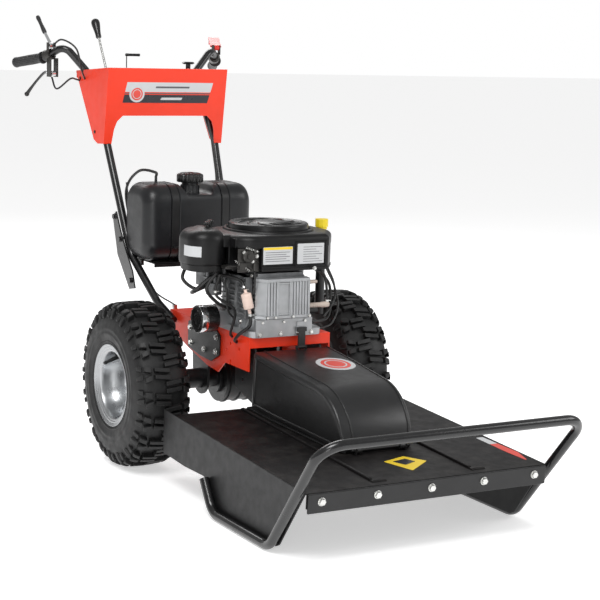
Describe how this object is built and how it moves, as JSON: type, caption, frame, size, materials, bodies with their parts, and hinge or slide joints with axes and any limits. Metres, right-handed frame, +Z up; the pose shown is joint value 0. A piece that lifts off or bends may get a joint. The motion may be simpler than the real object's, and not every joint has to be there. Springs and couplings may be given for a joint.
{
  "type": "walk-behind brush mower",
  "caption": "Self-propelled walk-behind brush mower with front cutting deck, tube bumper, vertical-shaft engine, lugged tyres and handlebar console.",
  "frame": {"origin": "point on the ground midway between the wheels, straight below the axle", "axes": "+Z up, -Y the way the mower drives (deck and bumper), +X the side to the left when facing forward"},
  "size_m": [0.858, 2.1844, 1.3313],
  "materials": {
    "orange_paint": "powder-coated, semi-gloss",
    "black_paint": "powder-coated, satin",
    "cast_alloy": "as cast",
    "steel": "machined",
    "zinc": "zinc-plated",
    "rim_metal": "bright",
    "tyre_rubber": "matt",
    "hose_rubber": "satin",
    "engine_black": "moulded",
    "tank_plastic": "moulded",
    "knob_plastic": "moulded",
    "red_plastic": "moulded",
    "yellow_plastic": "moulded",
    "pale_plastic": "moulded"
  },
  "bodies": {
    "chassis": {"chassis_frame": "orange_paint", "frame_bolts": "zinc", "axle_brackets": "black_paint", "deck_hangers": "black_paint", "transaxle": "black_paint", "axle_tubes": "black_paint", "traction_belt": "hose_rubber", "deck_shell": "black_paint", "side_plates": "black_paint", "front_flap": "hose_rubber", "bumper": "black_paint", "spindle_housing": "cast_alloy", "spindle_bearings": "steel", "blade_belt": "hose_rubber", "cover_hinge": "black_paint", "control_cables": "hose_rubber", "oil_sump": "cast_alloy", "crankcase": "cast_alloy", "rocker_cover": "cast_alloy", "blower_housing": "engine_black", "air_cleaner": "engine_black", "carburettor": "cast_alloy", "muffler": "black_paint", "oil_filter": "engine_black", "filler_tube": "engine_black", "fuel_filter": "pale_plastic", "engine_hoses": "hose_rubber", "spark_plug": "pale_plastic", "fuel_tank": "tank_plastic", "tank_bracket": "black_paint", "lower_handles": "black_paint", "handle_brackets": "black_paint", "handlebars": "black_paint", "console": "orange_paint", "console_top": "black_paint", "grips": "hose_rubber", "lever_perches": "black_paint"},
    "wheel_right": {"tyre_right": "tyre_rubber", "rim_right": "rim_metal", "axle_right": "steel"},
    "wheel_left": {"tyre_left": "tyre_rubber", "rim_left": "rim_metal", "axle_left": "steel"},
    "crank": {"crankshaft": "steel", "rotating_screen": "engine_black"},
    "traction_input": {"input_pulley": "steel"},
    "cutter": {"spindle_shaft": "steel", "spindle_pulley": "steel", "blade": "steel", "blade_nut": "steel"},
    "cover": {"belt_cover": "engine_black"},
    "latch": {"cover_latch": "hose_rubber"},
    "brake": {"brake_lever": "steel"},
    "drive": {"drive_lever": "knob_plastic"},
    "presence": {"presence_lever": "red_plastic"},
    "shift": {"gear_lever": "steel"},
    "choke": {"choke_handle": "knob_plastic"},
    "pto": {"pto_knob": "knob_plastic"},
    "oil_dipstick": {"dipstick": "yellow_plastic"},
    "tank_cap": {"fuel_cap": "tank_plastic"}
  },
  "joints": [
    {"name": "wheel_right_spin", "type": "hinge", "parent": "chassis", "child": "wheel_right", "pos_m": [-0.343, 0, 0.247], "axis": [1, 0, 0], "continuous": true},
    {"name": "wheel_left_spin", "type": "hinge", "parent": "chassis", "child": "wheel_left", "pos_m": [0.343, 0, 0.247], "axis": [1, 0, 0], "continuous": true},
    {"name": "crank_spin", "type": "hinge", "parent": "chassis", "child": "crank", "pos_m": [0, -0.18, 0.5], "axis": [0, 0, 1], "continuous": true},
    {"name": "traction_spin", "type": "hinge", "parent": "chassis", "child": "traction_input", "pos_m": [0, 0.03, 0.361], "axis": [0, 0, 1], "continuous": true},
    {"name": "blade_spin", "type": "hinge", "parent": "chassis", "child": "cutter", "pos_m": [0, -0.70742, 0.20476], "axis": [0, -0.0471, 0.9989], "continuous": true},
    {"name": "cover_hinge", "type": "hinge", "parent": "chassis", "child": "cover", "pos_m": [0, -0.83884, 0.21057], "axis": [1, 0, 0], "range_deg": [0, 60]},
    {"name": "latch_pivot", "type": "hinge", "parent": "cover", "child": "latch", "pos_m": [0.026, -0.352, 0.396], "axis": [1, 0, 0], "range_deg": [0, 75]},
    {"name": "brake_squeeze", "type": "hinge", "parent": "chassis", "child": "brake", "pos_m": [-0.304, 0.786, 1.14], "axis": [1, 0, 0], "range_deg": [0, 22], "stiffness_Nm_per_rad": 4, "springref_deg": -17.19},
    {"name": "drive_squeeze", "type": "hinge", "parent": "chassis", "child": "drive", "pos_m": [-0.306, 0.802, 1.232], "axis": [1, 0, 0], "range_deg": [-36, 0], "stiffness_Nm_per_rad": 2, "springref_deg": 17.19},
    {"name": "presence_squeeze", "type": "hinge", "parent": "chassis", "child": "presence", "pos_m": [0.306, 0.802, 1.236], "axis": [1, 0, 0], "range_deg": [-16, 0], "stiffness_Nm_per_rad": 2, "springref_deg": 17.19},
    {"name": "gear_shift", "type": "hinge", "parent": "chassis", "child": "shift", "pos_m": [-0.15, 0.662, 1.094], "axis": [1, 0, 0], "range_deg": [-10, 10]},
    {"name": "choke_pull", "type": "slide", "parent": "chassis", "child": "choke", "axis": [0, 0, 1], "range_m": [0, 0.03]},
    {"name": "pto_pull", "type": "slide", "parent": "chassis", "child": "pto", "axis": [0, 0, 1], "range_m": [0, 0.02]},
    {"name": "dipstick_pull", "type": "slide", "parent": "chassis", "child": "oil_dipstick", "axis": [0, 0, 1], "range_m": [0, 0.24]},
    {"name": "cap_turn", "type": "hinge", "parent": "chassis", "child": "tank_cap", "pos_m": [0, 0.358, 0.83], "axis": [0, 0, 1], "continuous": true}
  ],
  "couplings": [
    {"joint": "traction_spin", "follows": "crank_spin", "ratio": 0.6364},
    {"joint": "blade_spin", "follows": "crank_spin", "ratio": 0.8217}
  ]
}
